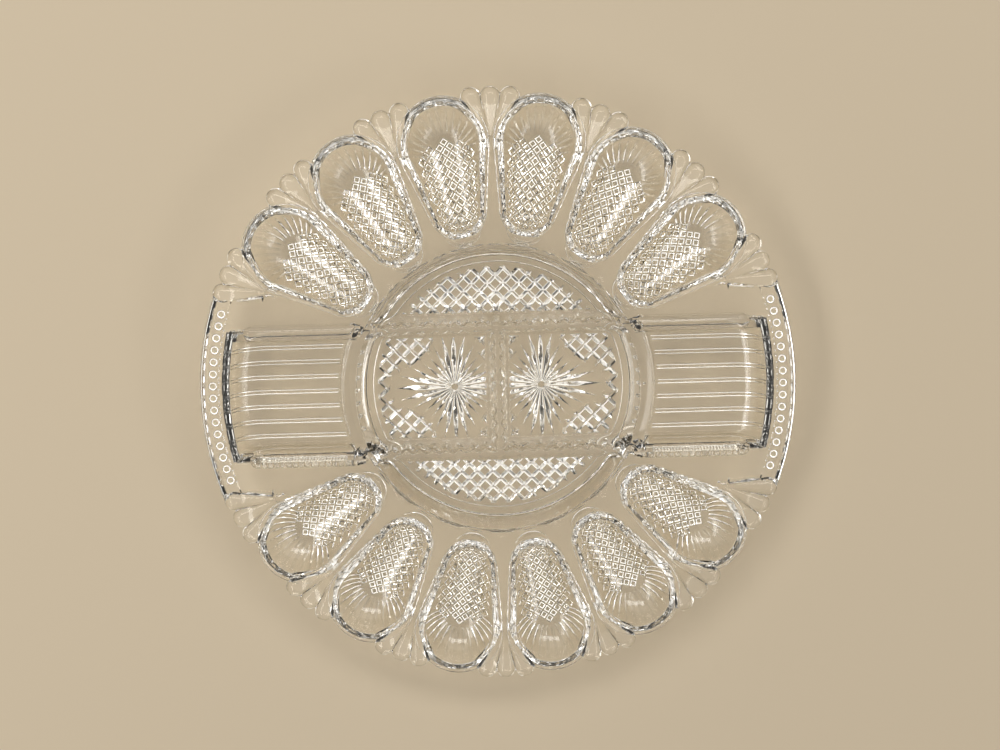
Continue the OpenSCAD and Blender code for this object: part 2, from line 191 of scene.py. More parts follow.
# Diamonds and flutes under the cups
DIAMOND = 3.8
DIAMOND_TOP = 0.95
DIAMOND_FOOT = 1.55
DIAMOND_H = 0.8
FIELD_AT = 98.0
FIELD_U = 22.0
FIELD_V = 17.5
FIELD_OVER = 1.6
FIELD_BOW = 22.0
FIELD_ROWS = 9
FLUTES = 15
FLUTE_STEP = math.radians(11.5)
FLUTE_HALF = 0.9
FLUTE_H = 0.7
FLUTE_AT = EGG_XB - 6.0
FLUTE_IN, FLUTE_IN_FADE = 9.5, 2
FLUTE_OUT, FLUTE_OUT_FADE = 25.5, 1.5

# Lattice and starbursts under the well
LATTICE_PITCH = 5.4
LATTICE_W = 2.0
LATTICE_H = 1.15
LATTICE_ROWS = 12
LATTICE_CORNER = 0.9
BURST_AT = 21.0
RAYS = 28
RAY_STEP = 2 * math.pi / RAYS
RAY_MEAN = 24
RAY_VARY = 6
RAY_RISE = 1.2
RAY_HALF = 1.15
RAY_SPREAD = 0.09
RAY_POINT = 14.0
RAY_TIP = 1
RAY_FADE = 1.5
RAY_START = 1.6
CUT_EDGE = 0.8
CUT_FROM_DIVIDER = DIVIDER_W / 2 + 0.5
CUT_OUT_R = FOOT_IN_R - 1.5

CUPS = [s * QUARTER + (k - (ROW - 1) / 2) * PITCH for s in (1, -1) for k in range(ROW)]
FANS = [s * QUARTER + (k - ROW / 2) * PITCH for s in (1, -1) for k in range(ROW + 1)]


# Sums and frames

def root(square):
    """Square root, with 0 for what is below 0."""
    return np.sqrt(np.maximum(square, 0))


def soft_min(a, b, width):
    """The lower of two heights, blended over width where they meet."""
    near = np.maximum(width - np.abs(a - b), 0) / width
    return np.minimum(a, b) - near * near * width / 4


def soft_max(a, b, width):
    """The higher of two heights, blended over width where they meet."""
    return -soft_min(-a, -b, width)


def ease(t):
    """0 up to 0, 1 from 1 on, and a smooth step between."""
    t = np.clip(t, 0, 1)
    return t * t * (3 - 2 * t)


def off_line(t, pitch):
    """Distance of t from the nearest whole multiple of pitch."""
    return np.abs(t / pitch - np.round(t / pitch)) * pitch


def polar(r, a):
    """The point at distance r and angle a from the plate's middle."""
    return np.array([r * math.cos(a), r * math.sin(a)])


def diagonal(a, b):
    """Places in axes at 45 degrees to a and b. It is its own reverse."""
    return (a + b) / math.sqrt(2), (a - b) / math.sqrt(2)


def turned(p, angle, origin=(0.0, 0.0)):
    """Points p in a frame turned by angle about origin."""
    q = np.asarray(p, float) - np.asarray(origin)
    c, s = math.cos(angle), math.sin(angle)
    return q[:, 0] * c + q[:, 1] * s, q[:, 1] * c - q[:, 0] * s


def turned_back(u, v, angle, origin=(0.0, 0.0)):
    """The reverse of turned."""
    c, s = math.cos(angle), math.sin(angle)
    return np.column_stack([u * c - v * s, u * s + v * c]) + np.asarray(origin)


def folded(p):
    """Angle of each point from the nearer handle's middle, and its distance from the plate's middle."""
    return np.arctan2(np.abs(p[:, 1]), np.abs(p[:, 0])), np.hypot(p[:, 0], p[:, 1])


def row_frame(p, count):
    """Points in the frame of the nearest of count places along the nearer row of cups."""
    side = np.where(p[:, 1] >= 0, 1.0, -1.0)
    a = np.arctan2(p[:, 1], p[:, 0]) - side * QUARTER
    k = np.clip(np.round(a / PITCH + (count - 1) / 2), 0, count - 1)
    at = side * QUARTER + (k - (count - 1) / 2) * PITCH
    c, s = np.cos(at), np.sin(at)
    return p[:, 0] * c + p[:, 1] * s, p[:, 1] * c - p[:, 0] * s


# Pears: two balls of radius ra at xa and rb at xb, and the cone that touches both

def pear_radius(u, xa, ra, xb, rb):
    """Radius of a round pear at station u along its axis, or zero past its ends."""
    c = (ra - rb) / (xb - xa)
    s = math.sqrt(1 - c * c)
    end_a = root(ra * ra - (u - xa) ** 2)
    end_b = root(rb * rb - (u - xb) ** 2)
    cone = (ra - (u - xa) * c) / s
    return np.where(u < xa + ra * c, end_a, np.where(u > xb + rb * c, end_b, cone))


def pear_distance(u, v, xa, ra, xb, rb):
    """Signed distance from the outline of a flat pear, negative inside."""
    span = xb - xa
    b = (ra - rb) / span
    a = math.sqrt(1 - b * b)
    px, py = np.abs(v), u - xa
    k = a * py - b * px
    side = a * px + b * py - ra
    return np.where(k < 0, np.hypot(px, py) - ra,
                    np.where(k > a * span, np.hypot(px, py - span) - rb, side))


def pear_body(u, v, pear):
    """Square of a round pear's half height over each point, negative beside the pear."""
    return pear_radius(u, *pear) ** 2 - v * v


def grown(pear, by):
    """A pear with both its balls made larger."""
    xa, ra, xb, rb = pear
    return xa, ra + by, xb, rb + by


def sliced(pear, depth):
    """The outline of a round pear at a depth below its axis."""
    xa, ra, xb, rb = pear
    return xa, math.sqrt(ra ** 2 - depth * depth), xb, math.sqrt(rb ** 2 - depth * depth)


def fan_petals():
    """The petals of a fan, in the fan's own frame: which way each one points, and its pear."""
    out = []
    for k in (-1, 0, 1):
        run = polar(FAN_R, k * PETAL_STEP) - (FAN_ROOT, 0)
        out.append((math.atan2(run[1], run[0]), (0.0, ROOT_R, math.hypot(run[0], run[1]), BEAD_R)))
    return out


PETALS = fan_petals()


def petal_frames(p):
    """For each petal of the nearest fan: the points in the petal's frame, and its pear."""
    q = np.column_stack(row_frame(p, ROW + 1))
    return [turned(q, at, (FAN_ROOT, 0)) + (pear,) for at, pear in PETALS]


def add_petals(z, p, up):
    """The petals' round bodies, above their middle plane where up is 1, and below it where up is -1."""
    further = np.maximum if up > 0 else np.minimum
    for u, v, pear in petal_frames(p):
        body = np.where(u < -ROOT_R, -1.0, pear_body(u, v, pear))
        z = np.where(body > -ON_PEAR, further(z, PETAL_Z + up * root(body)), z)
    return z


# The plate's plan

# The corner decks end over the last fan's outer petal, along a slanting line in the fan's own frame
SLANT_IN = 2.5
SLANT_PETALS = 1.25
SLANT_FROM = np.array([FAN_ROOT + SLANT_IN, NECK_W / 4])
SLANT_TO = polar(FAN_R, SLANT_PETALS * PETAL_STEP)
SLANT_TURN = math.atan2(SLANT_TO[1] - SLANT_FROM[1], SLANT_TO[0] - SLANT_FROM[0])


def deck_distance(p):
    """Signed distance, near enough, from the deck that carries the fans, the rails and the handles."""
    a, r = folded(p)
    u, v = turned(np.abs(p), QUARTER - LAST_FAN)
    slant = (v + SLANT_FROM[1]) * math.cos(SLANT_TURN) + (u - SLANT_FROM[0]) * math.sin(SLANT_TURN)
    corner = np.maximum(r - CORNER_R, (a - (QUARTER - LAST_FAN)) * r)
    corner = np.where(u > SLANT_FROM[0], np.maximum(corner, slant), corner)
    handle = np.maximum(r - HANDLE_R, (a - HANDLE_HALF) * r)
    u, v = row_frame(p, ROW + 1)
    neck = np.maximum(u - NECK_END, np.maximum(np.abs(v) - NECK_W / 2, -u))
    return np.minimum(np.minimum(r - WEB_END, corner), np.minimum(handle, neck))


def plate_distance(p):
    """Signed distance, near enough, from the plate's outline."""
    best = np.minimum(deck_distance(p), pear_distance(*row_frame(p, ROW), *LAND))
    for u, v, pear in petal_frames(p):
        best = np.minimum(best, pear_distance(u, v, *pear))
    return best


def near_cup(u, v):
    """Whether points in the frame of the nearest cup are close enough to belong to it."""
    return (u > WELL_R) & (np.abs(v) < CUP_NEAR)


# Upper face

def crest_r(along):
    """Radius of a divider's crest, which swells and shrinks along it."""
    return CREST_R + CREST_WAVE * np.cos(along * 2 * math.pi / WAVE)


def ridge(d, along):
    """Height of a divider at distance d from its middle line: straight flanks and a wavy crest."""
    crest = crest_r(along)
    crest_z = DIVIDER_H - crest
    lean = np.arctan((DIVIDER_W / 2 - crest) / crest_z)
    turn_d, turn_z = crest * np.cos(lean), crest_z + crest * np.sin(lean)
    flank = turn_z * (DIVIDER_W / 2 - np.abs(d)) / (DIVIDER_W / 2 - turn_d)
    top = crest_z + root(crest ** 2 - d * d)
    return FLOOR_Z + np.where(np.abs(d) < turn_d, top, flank)


def well_face(p, r):
    """The wall flares into the dividers, and both turn into the floor with a small fillet."""
    ay = np.abs(p[:, 1])
    cone = FLOOR_Z + (r - WELL_R) * WELL_DEPTH / WELL_LEAN
    # The cross divider sinks away inside the two that it joins
    cross = ridge(p[:, 0], p[:, 1]) - CROSS_SINK * np.maximum(ay - RAIL_Y + CROSS_END, 0)
    z = soft_max(cone, ridge(ay - RAIL_Y, p[:, 0]), WELL_FLARE)
    z = soft_max(z, cross, CROSS_FLARE)
    return soft_max(z, np.full(len(p), FLOOR_Z), WELL_FILLET)


def trough_bend(r, ay, grow):
    """A trough's turned-up end and its leaning sides, both grown downwards and outwards."""
    bend = TROUGH_DEPTH + grow
    out = np.maximum(r - BEND_R, 0)
    end = np.where(out < bend, DECK_Z - root(bend ** 2 - out ** 2), FAR)
    side = TROUGH_FLOOR_Z - grow + (ay - TROUGH_HALF - grow) * TROUGH_DEPTH / TROUGH_LEAN
    return end, side


def trough_face(p, r):
    """The inside of a trough: its near wall, its sides, its floor and its turned-up end."""
    end, side = trough_bend(r, np.abs(p[:, 1]), 0)
    near = TROUGH_FLOOR_Z + (NEAR_FOOT - r) * TROUGH_DEPTH / (NEAR_FOOT - NEAR_TOP)
    return soft_max(soft_max(near, side, TROUGH_FLARE), end, TROUGH_FILLET)


def scallop(p):
    """Distance outside the lobes that the deck makes round the well, one for each cup."""
    u, v = row_frame(p, ROW)
    return np.minimum(np.hypot(u - LOBE_AT, v) - LOBE_R, np.abs(p[:, 1]) - RAIL_Y - RAIL_R)


def add_rails(z, p, r):
    """Domed rails along the troughs, round at their outer tips and flush with the troughs' walls."""
    ax, ay = np.abs(p[:, 0]), np.abs(p[:, 1])
    d = np.hypot(np.maximum(ax - RAIL_END, 0), ay - RAIL_Y)
    dome = RAIL_TOP - RAIL_R + root(RAIL_R ** 2 - d * d)
    wall = TROUGH_FLOOR_Z + (ay - TROUGH_HALF) * TROUGH_DEPTH / TROUGH_LEAN
    well_end = DECK_Z + (r - RAIL_START) * 2
    dome = np.minimum(np.minimum(dome, wall), well_end)
    return np.where((ax > WELL_R) & (d < RAIL_R), np.maximum(z, dome), z)


def add_handles(z, a, r):
    """A raised band on each handle, with a rolled edge."""
    inside = a < HANDLE_HALF
    end = DECK_Z + (HANDLE_HALF - a) * r * BAND_SLOPE
    band = np.minimum(np.minimum(DECK_Z + BAND_H, DECK_Z + (r - BAND_R) * BAND_SLOPE), end)
    lip = LIP_Z + root(LIP_R ** 2 - (r - LIP_AT) ** 2)
    z = np.where(inside & (r > BAND_R), np.maximum(z, band), z)
    return np.where(inside & (np.abs(r - LIP_AT) < LIP_R), np.maximum(z, np.minimum(lip, end)), z)


def cup_face(u, v, z):
    """The flat land round a cup, the tongue with its half-moon hollow, and the cavity."""
    edge = pear_distance(u, v, *LAND)
    land = soft_min(np.full(len(u), RIM_Z), DECK_Z - edge * LAND_SLOPE, LAND_BRIM)
    z = np.where(edge < LAND_SKIRT, np.maximum(z, land), z)
    arch = MOON_R - np.hypot(u - MOON_AT, v)
    tongue = np.minimum(RIM_Z - MOON_DROP, DECK_Z + arch * TONGUE_SLOPE)
    z = np.where((arch > 0) & (u < EGG_XA), np.maximum(z, tongue), z)
    moon = np.minimum(arch, MOON_END - u)
    dish = MOON_DROP * ease(moon / MOON_DROP_W) + MOON_DISH * ease(moon / MOON_DISH_W)
    z = np.where(moon > 0, np.minimum(z, RIM_Z - dish), z)
    body = pear_body(u, v, CAVITY)
    return np.where(body > 0, soft_min(z, EGG_Z - root(body), CAVITY_BRIM), z)


def upper(p):
    """Height of the plate's upper face at points p."""
    p = np.asarray(p, float)
    a, r = folded(p)
    z = DECK_Z - SCALLOP_H * ease(scallop(p) / SCALLOP_H + 0.5) * (r < SCALLOP_OUT_R)
    z = soft_min(z, well_face(p, r), WELL_BRIM)
    z = np.where(r > TROUGH_FROM_R, soft_min(z, trough_face(p, r), TROUGH_BRIM), z)
    z = add_rails(z, p, r)
    z = add_handles(z, a, r)
    z = np.where(deck_distance(p) > ON_DECK, -FAR, z)
    u, v = row_frame(p, ROW)
    near = near_cup(u, v)
    z[near] = cup_face(u[near], v[near], z[near])
    z = add_petals(z, p, 1)
    return np.where(z < -FAR / 2, DECK_Z, z)


# Lower face

def in_field(a, b):
    """Whole diamonds only: the field's outline is tested at each diamond's middle."""
    u, v = diagonal(a, b)
    return (pear_distance(u + FIELD_AT, v, *CAVITY) < FIELD_OVER) & (u < FIELD_U - v * v / FIELD_BOW)


def diamond_row(t):
    """1 on a row of diamonds, 0 in the groove between two rows."""
    return np.clip((DIAMOND_FOOT - off_line(t, DIAMOND)) / (DIAMOND_FOOT - DIAMOND_TOP), 0, 1)


def diamonds(u, v):
    """Height of the diamonds under a cup."""
    a, b = diagonal(u - FIELD_AT, v)
    h = np.minimum(diamond_row(a), diamond_row(b))
    return DIAMOND_H * (h * in_field(np.round(a / DIAMOND) * DIAMOND, np.round(b / DIAMOND) * DIAMOND))


def flutes(u, v):
    """Radial flutes under the wide end of a cup."""
    a, r = np.arctan2(v, u - FLUTE_AT), np.hypot(u - FLUTE_AT, v)
    d = off_line(a, FLUTE_STEP) * r
    inside = (np.abs(a) < FLUTES / 2 * FLUTE_STEP) & (u > FLUTE_AT)
    reach = ease((r - FLUTE_IN) / FLUTE_IN_FADE) * ease((FLUTE_OUT - r) / FLUTE_OUT_FADE)
    return np.where(inside, FLUTE_H * np.clip(1 - d / FLUTE_HALF, 0, 1) * reach, 0)


def ray_length(a):
    """The rays are longest along x and y."""
    return RAY_MEAN + RAY_VARY * np.cos(a * 4)


def ray_width(r, a):
    """Half the width of a ray, which tapers to a point at both ends."""
    return np.minimum(RAY_SPREAD * r, RAY_HALF) * ease((ray_length(a) + RAY_TIP - r) / RAY_POINT)


def lattice(p):
    """Depth of the crossed grooves."""
    a, b = diagonal(p[:, 0], p[:, 1])
    d = np.minimum(off_line(a, LATTICE_PITCH), off_line(b, LATTICE_PITCH))
    return LATTICE_H * np.clip(1 - d / (LATTICE_W / 2), 0, 1)


def starburst(x, y, grid):
    """Rays from a point beside the cross divider, with the lattice called grid in the corners."""
    r, a = np.hypot(x - BURST_AT, y), np.arctan2(y, x - BURST_AT)
    ray = RAY_RISE * np.maximum(ray_width(r, a) - off_line(a, RAY_STEP) * r, 0)
    corner = ease((r - ray_length(a) - RAY_TIP) / RAY_FADE)
    return np.maximum(ray, grid * corner * LATTICE_CORNER)


def well_cuts(p, r):
    """Depth of the lattice under the side segments and of the starbursts under the middle."""
    ax, ay = np.abs(p[:, 0]), np.abs(p[:, 1])
    clear = np.minimum(CUT_OUT_R - r, np.abs(ay - RAIL_Y) - CUT_FROM_DIVIDER)
    grid = lattice(p)
    middle = starburst(ax, p[:, 1], grid) * ease((ax - CUT_FROM_DIVIDER) / CUT_EDGE)
    return np.where(ay > RAIL_Y, grid, middle) * ease(clear / CUT_EDGE)


def deck_underside(p, a, r):
    """The deck thins towards the plate's outline."""
    z = np.full(len(p), DECK_LOW_Z)
    rim = r > THIN_FROM_R
    edge = -plate_distance(p[rim])
    slope = np.where(a[rim] < HANDLE_HALF, THIN_HANDLE, THIN_CUPS)
    z[rim] = np.maximum(DECK_LOW_Z, DECK_Z - THIN_EDGE - edge * slope)
    return z


def well_underside(z, p, r):
    """The wall's outer face, the floor, the foot ring and the cuts under the floor."""
    outer = FOOT_H + (r - WELL_R - CREST_W + WALL_THIN) * WELL_DEPTH / WELL_LEAN
    z = soft_min(z, np.maximum(outer, FOOT_H), WELL_UNDER_FILLET)
    flanks = np.minimum(r - FOOT_IN_R, FOOT_OUT_R - r) * FOOT_SLOPE
    # The foot's lowest edge stays just clear of the floor's own plane
    foot = soft_min(flanks, np.full(len(p), FOOT_H - FOOT_CLEAR), FOOT_ROUND)
    z = np.where(foot > 0, np.minimum(z, FOOT_H - foot), z)
    return np.where(r < FOOT_IN_R - FOOT_ROUND, FOOT_H + well_cuts(p, r), z)


def trough_underside(z, p, r):
    """The troughs' outer faces with their ribs."""
    ay = np.abs(p[:, 1])
    rib = off_line(p[:, 1], RIB_PITCH)
    ribbed = (rib < RIB_R) & (ay < RIB_PITCH * RIB_COUNT / 2) & (r > RIB_START) & (r < RIB_END)
    grow = GLASS_T + np.where(ribbed, root(RIB_R ** 2 - rib ** 2), 0)
    end, side = trough_bend(r, ay, grow)
    trough = soft_max(end, side, TROUGH_UNDER_FILLET)
    return np.where(r > FOOT_OUT_R, soft_min(z, trough, TROUGH_BRIM), z)


def add_grips(z, p):
    """Round beads under the handles."""
    for k in range(-GRIPS, GRIPS + 1):
        x, y = polar(GRIP_AT, k * GRIP_STEP)
        body = GRIP_R ** 2 - (np.abs(p[:, 0]) - x) ** 2 - (p[:, 1] - y) ** 2
        z = np.where(body > 0, np.minimum(z, DECK_LOW_Z - root(body)), z)
    return z


def shell_face(u, v, z):
    """A cup's outer face with its diamonds and flutes."""
    body = pear_body(u, v, SHELL)
    shell = EGG_Z - root(body) - diamonds(u, v) - flutes(u, v)
    return np.where(body > 0, soft_min(z, shell, SHELL_FILLET), z)


def lower(p):
    """Height of the plate's lower face at points p."""
    p = np.asarray(p, float)
    a, r = folded(p)
    z = deck_underside(p, a, r)
    z = well_underside(z, p, r)
    z = trough_underside(z, p, r)
    z = add_grips(z, p)
    u, v = row_frame(p, ROW)
    near = near_cup(u, v)
    z[near] = shell_face(u[near], v[near], z[near])
    bare = (deck_distance(p) > ON_DECK) & (pear_distance(u, v, *LAND) > ON_PEAR)
    z = add_petals(np.where(bare, FAR, z), p, -1)
    return np.where(z > FAR / 2, DECK_LOW_Z, z)


# Lines of the carving, which the mesh follows. Each is a row of points, and gap is their longest step.
# The offsets in the lists below lie where a face bends or one form ends at another.

FINE_GAP = 0.8
CUP_GAP = 1.0
LINE_GAP = 1.2
UNDER_GAP = 1.5
LOOSE_GAP = 3.0
JUST_INSIDE = 0.96
SHEER = 0.05
INSET = 0.1
OUTLINE_POINTS = 2160
HALVINGS = 40


def outline_points():
    """The plate's outline, found along rays from its middle."""
    n = OUTLINE_POINTS
    a = (np.arange(n) + 0.5) * 2 * math.pi / n
    low, high = np.full(n, RING_R), np.full(n, PLATE_R + 2)
    for _ in range(HALVINGS):
        mid = (low + high) / 2
        d = plate_distance(np.column_stack([mid * np.cos(a), mid * np.sin(a)]))
        low, high = np.where(d < 0, mid, low), np.where(d < 0, high, mid)
    return np.column_stack([low * np.cos(a), low * np.sin(a)])


def segment(p, q, gap):
    """Points along a straight line."""
    n = max(1, math.ceil(math.dist(p, q) / gap))
    return np.linspace(p, q, n + 1)


def arc(r, a0, a1, gap, middle=(0.0, 0.0)):
    """Points along an arc from angle a0 to angle a1."""
    n = max(6, math.ceil(abs(a1 - a0) * r / gap))
    a = np.linspace(a0, a1, n + 1)
    return np.column_stack([r * np.cos(a), r * np.sin(a)]) + np.asarray(middle)


def ring(r, gap, middle=(0.0, 0.0)):
    """Points round a full circle."""
    return arc(r, 0, 2 * math.pi, gap, middle)


def pear_curve(pear, gap):
    """Points round the outline of a flat pear."""
    xa, ra, xb, rb = pear
    t = math.acos((ra - rb) / (xb - xa))
    big = arc(rb, -t, t, gap, (xb, 0))
    small = arc(ra, t, 2 * math.pi - t, gap, (xa, 0))
    one, other = segment(big[-1], small[0], gap), segment(small[-1], big[0], gap)
    return np.vstack([big, one[1:-1], small, other[1:]])


def placed(lines, places):
    """The lines at each place, which is an angle about the plate's middle."""
    return [turned_back(q[:, 0], q[:, 1], at) for at in places for q in lines]


def mirrored(lines):
    """The lines in all four quarters."""
    return [q * (sx, sy) for sx in (1, -1) for sy in (1, -1) for q in lines]


def both_ends(lines):
    """The lines, and the lines turned by half a turn."""
    return [q * (s, s) for s in (1, -1) for q in lines]


def left_and_right(lines):
    """The lines, and the same lines on the other side of the y axis."""
    return [q * (s, 1) for s in (1, -1) for q in lines]


def across_trough(r, y, gap):
    """Part of a circle about the plate's middle, from -y to y across the right trough."""
    a = math.asin(y / r)
    return arc(r, -a, a, gap)


def along_trough(start_x, end_r, y, gap):
    """A line along the right trough, which ends on a circle about the plate's middle."""
    return segment((start_x, y), (math.sqrt(end_r ** 2 - y * y), y), gap)


def bend_radii(bend, angles):
    """Where the troughs' turned-up ends have turned by each angle."""
    return [BEND_R + bend * math.sin(math.radians(t)) for t in angles]


def handle_arcs(radii, gap):
    """Arcs along both handles."""
    return both_ends([arc(r, -HANDLE_HALF, HANDLE_HALF, gap) for r in radii])


def fan_lines():
    """Valleys between petals, the edge of the neck, and the petals' edges on the corner decks."""
    out = []
    valley = 28
    for s in (1, -1):
        half, side = s * PETALS[2][0] / 2, s * NECK_W / 2
        tip = (FAN_ROOT + valley * math.cos(half), valley * math.sin(half))
        out.append(segment((FAN_ROOT, 0), tip, CUP_GAP))
        out.append(segment((WEB_END, side), (NECK_END, side), CUP_GAP))
    for u in (NECK_END, NECK_END + SHEER):
        out.append(segment((u, -NECK_W / 2), (u, NECK_W / 2), FINE_GAP))
    rise = DECK_Z - PETAL_Z
    for at, pear in PETALS:
        u = np.linspace(0, pear[2] + BEAD_R, 60)
        w = root(pear_radius(u, *pear) ** 2 - rise ** 2)
        u, w = u[w > 0], w[w > 0]
        out += [turned_back(u, s * w, at, (FAN_ROOT, 0)) for s in (1, -1)]
    return out


FLANK_LINES = (2.6, 3.5, 4.0, 4.5, 5.0)


def side_divider_lines(y):
    """A divider along the troughs' direction: its middle, its flanks and the wavy edge of its crest."""
    out = []
    for o in (0,) + FLANK_LINES:
        out += [segment((-WELL_R, y + t * o), (WELL_R, y + t * o), LINE_GAP) for t in (1, -1)]
    x = np.arange(-WELL_R, WELL_R + 0.1, WAVE / 10)
    for t in (1, 0.5, -0.5, -1):
        out.append(np.column_stack([x, y + t * crest_r(x) * JUST_INSIDE]))
    return out


def cross_divider_lines():
    """The divider between the middle compartments."""
    y = np.arange(-RAIL_Y, RAIL_Y, WAVE / 10)
    out = [np.column_stack([t * crest_r(y) * JUST_INSIDE, y]) for t in (1, 0.5, 0, -0.5, -1)]
    for o in FLANK_LINES:
        out += [segment((t * o, -RAIL_Y), (t * o, RAIL_Y), LINE_GAP) for t in (1, -1)]
    return out


def trough_end_lines():
    """Arcs over the troughs' near walls, their floors' ends and their turned-up ends."""
    half = TROUGH_HALF + TROUGH_LEAN + 0.2
    radii = [NEAR_TOP + o for o in (-0.25, 0, 0.3, 0.8, 1.4, 2.0, 2.5, 3.0, 3.6)]
    radii += bend_radii(TROUGH_DEPTH, (0, 10, 20, 30, 40, 50, 60, 68, 76, 83, 88))
    radii += [TROUGH_END, TROUGH_END + 0.2]
    out = []
    for r in radii:
        out += both_ends([across_trough(r, half, LINE_GAP)])
    return out


def trough_side_lines():
    """Lines along a trough's side, from its floor to its edge."""
    offsets = (-0.9, -0.5, -0.1, 0.3, 0.7, 1.2, 1.7, 2.13)
    return [along_trough(NEAR_TOP, TROUGH_END + 0.5, TROUGH_HALF + o, gap=1.4) for o in offsets]


def rail_lines():
    """Lines along a rail, which run round its tip."""
    out = []
    for o in (0.9, 1.8, 2.6, 3.2, 3.5, 3.708):
        tip = arc(o, -QUARTER, QUARTER, FINE_GAP, (RAIL_END, RAIL_Y))
        low = segment((RAIL_START, RAIL_Y - o), tip[0], LINE_GAP)
        high = segment(tip[-1], (RAIL_START, RAIL_Y + o), LINE_GAP)
        out.append(np.vstack([low[:-1], tip, high[1:]]))
    return out + [segment((RAIL_START, RAIL_Y), (RAIL_END, RAIL_Y), LINE_GAP)]


def handle_lines():
    """Arcs along the raised band and its rolled edge, and lines across the band's ends."""
    ramp = BAND_H / BAND_SLOPE
    radii = [BAND_R, BAND_R + ramp] + [LIP_AT + o for o in (-1.3, -1.0, -0.5, 0, 0.5, 0.9, 1.2)]
    ends = (HANDLE_HALF, HANDLE_HALF - ramp / HANDLE_R)
    across = [segment(polar(BAND_R, a), polar(HANDLE_R, a), LINE_GAP) for a in ends]
    return handle_arcs(radii, LINE_GAP) + mirrored(across)


def cup_lines():
    """Edges of the land, levels of the cavity, the half-moon and the lobe at the well."""
    out = [pear_curve(grown(LAND, o), CUP_GAP) for o in (0, -0.22, -0.42, -0.62)]
    out += [pear_curve(sliced(CAVITY, depth), CUP_GAP) for depth in (0.3, 1.2, 2.0, 2.8, 3.6, 4.6)]
    for o in (0, -0.25, -0.5, -1.4, -2.8):
        out.append(arc(MOON_R + o, QUARTER, 3 * QUARTER, gap=0.7, middle=(MOON_AT, 0)))
    for o in (0, -0.25, -0.5):
        out.append(segment((MOON_END + o, -MOON_R), (MOON_END + o, MOON_R), gap=0.9))
    for o in (-0.45, -0.15, 0.15, 0.45):
        start, end = math.pi - LOBE_HALF, math.pi + LOBE_HALF
        out.append(arc(LOBE_R + o, start, end, gap=0.9, middle=(LOBE_AT, 0)))
    return out


def upper_lines():
    """All lines of the upper face."""
    rings = (-1.0, -0.5, 0, 0.5, 1.0, 2.2, 3.2, 3.35, 3.5, 3.65, 3.8)
    out = [ring(WELL_R + o, gap=1.1) for o in rings]
    out += side_divider_lines(RAIL_Y) + side_divider_lines(-RAIL_Y) + cross_divider_lines()
    out += trough_end_lines() + mirrored(trough_side_lines() + rail_lines())
    out += handle_lines()
    return out + placed(cup_lines(), CUPS) + placed(fan_lines(), FANS)


def square(a, b, half):
    """A square set at 45 degrees, about grid place a, b."""
    s = np.array([(1, 1), (1, -1), (-1, -1), (-1, 1), (1, 1)]) * half + (a, b)
    return np.column_stack(diagonal(s[:, 0], s[:, 1]))


def lattice_lines():
    """Edges and middles of the well's grooves, and the mitres where two grooves cross."""
    out = []
    g = np.arange(-LATTICE_ROWS, LATTICE_ROWS + 1) * LATTICE_PITCH
    knots = np.sort(np.concatenate([g, g - LATTICE_W / 2, g + LATTICE_W / 2]))
    for k in knots:
        same = np.full(len(knots), k)
        out.append(np.column_stack(diagonal(same, knots)))
        out.append(np.column_stack(diagonal(knots, same)))
    arm = LATTICE_W / math.sqrt(2)
    for a in g:
        for b in g:
            c = np.array(diagonal(a, b))
            out.append(c + np.array([(-arm, 0), (0, 0), (arm, 0)]))
            out.append(c + np.array([(0, -arm), (0, 0), (0, arm)]))
    return out


def ray_lines():
    """Middles and edges of the starbursts' rays, and the valleys between them."""
    out = []
    middle = (BURST_AT, 0)
    for k in range(RAYS):
        t = k * RAY_STEP
        r = np.arange(RAY_START, ray_length(t) + RAY_FADE, LINE_GAP)
        w = np.minimum(ray_width(r, t), RAY_STEP * r / 2 * JUST_INSIDE)
        out += [turned_back(r, s * w, t, middle) for s in (-1, 0, 1)]
        out.append(turned_back(r, np.zeros(len(r)), t + RAY_STEP / 2, middle))
    return left_and_right(out + [ring(RAY_START, gap=0.6, middle=middle)])


def cut_apart(lines, keep):
    """The stretches of each line whose points keep approves."""
    out = []
    for q in lines:
        ok = keep(q)
        start = None
        for i in range(len(q) + 1):
            good = i < len(q) and ok[i]
            if good and start is None:
                start = i
            if not good and start is not None:
                if i - start > 1:
                    out.append(q[start:i])
                start = None
    return out


def in_segments(q):
    """Under the well's side segments, clear of the divider and of the foot."""
    clear = np.abs(q[:, 1]) > RAIL_Y + CUT_FROM_DIVIDER + INSET
    return clear & (np.hypot(q[:, 0], q[:, 1]) < CUT_OUT_R - INSET)


def in_middle(q):
    """Under the well's middle compartments, clear of the dividers and of the foot."""
    ax, ay = np.abs(q[:, 0]), np.abs(q[:, 1])
    clear = (ay < RAIL_Y - CUT_FROM_DIVIDER - INSET) & (ax > CUT_FROM_DIVIDER + INSET)
    return clear & (np.hypot(ax, ay) < CUT_OUT_R - INSET)


def in_corner(q):
    """In the middle compartments, past the ends of the rays."""
    bx, by = np.abs(q[:, 0]) - BURST_AT, q[:, 1]
    return in_middle(q) & (np.hypot(bx, by) > ray_length(np.arctan2(by, bx)) + RAY_TIP + 2 * INSET)


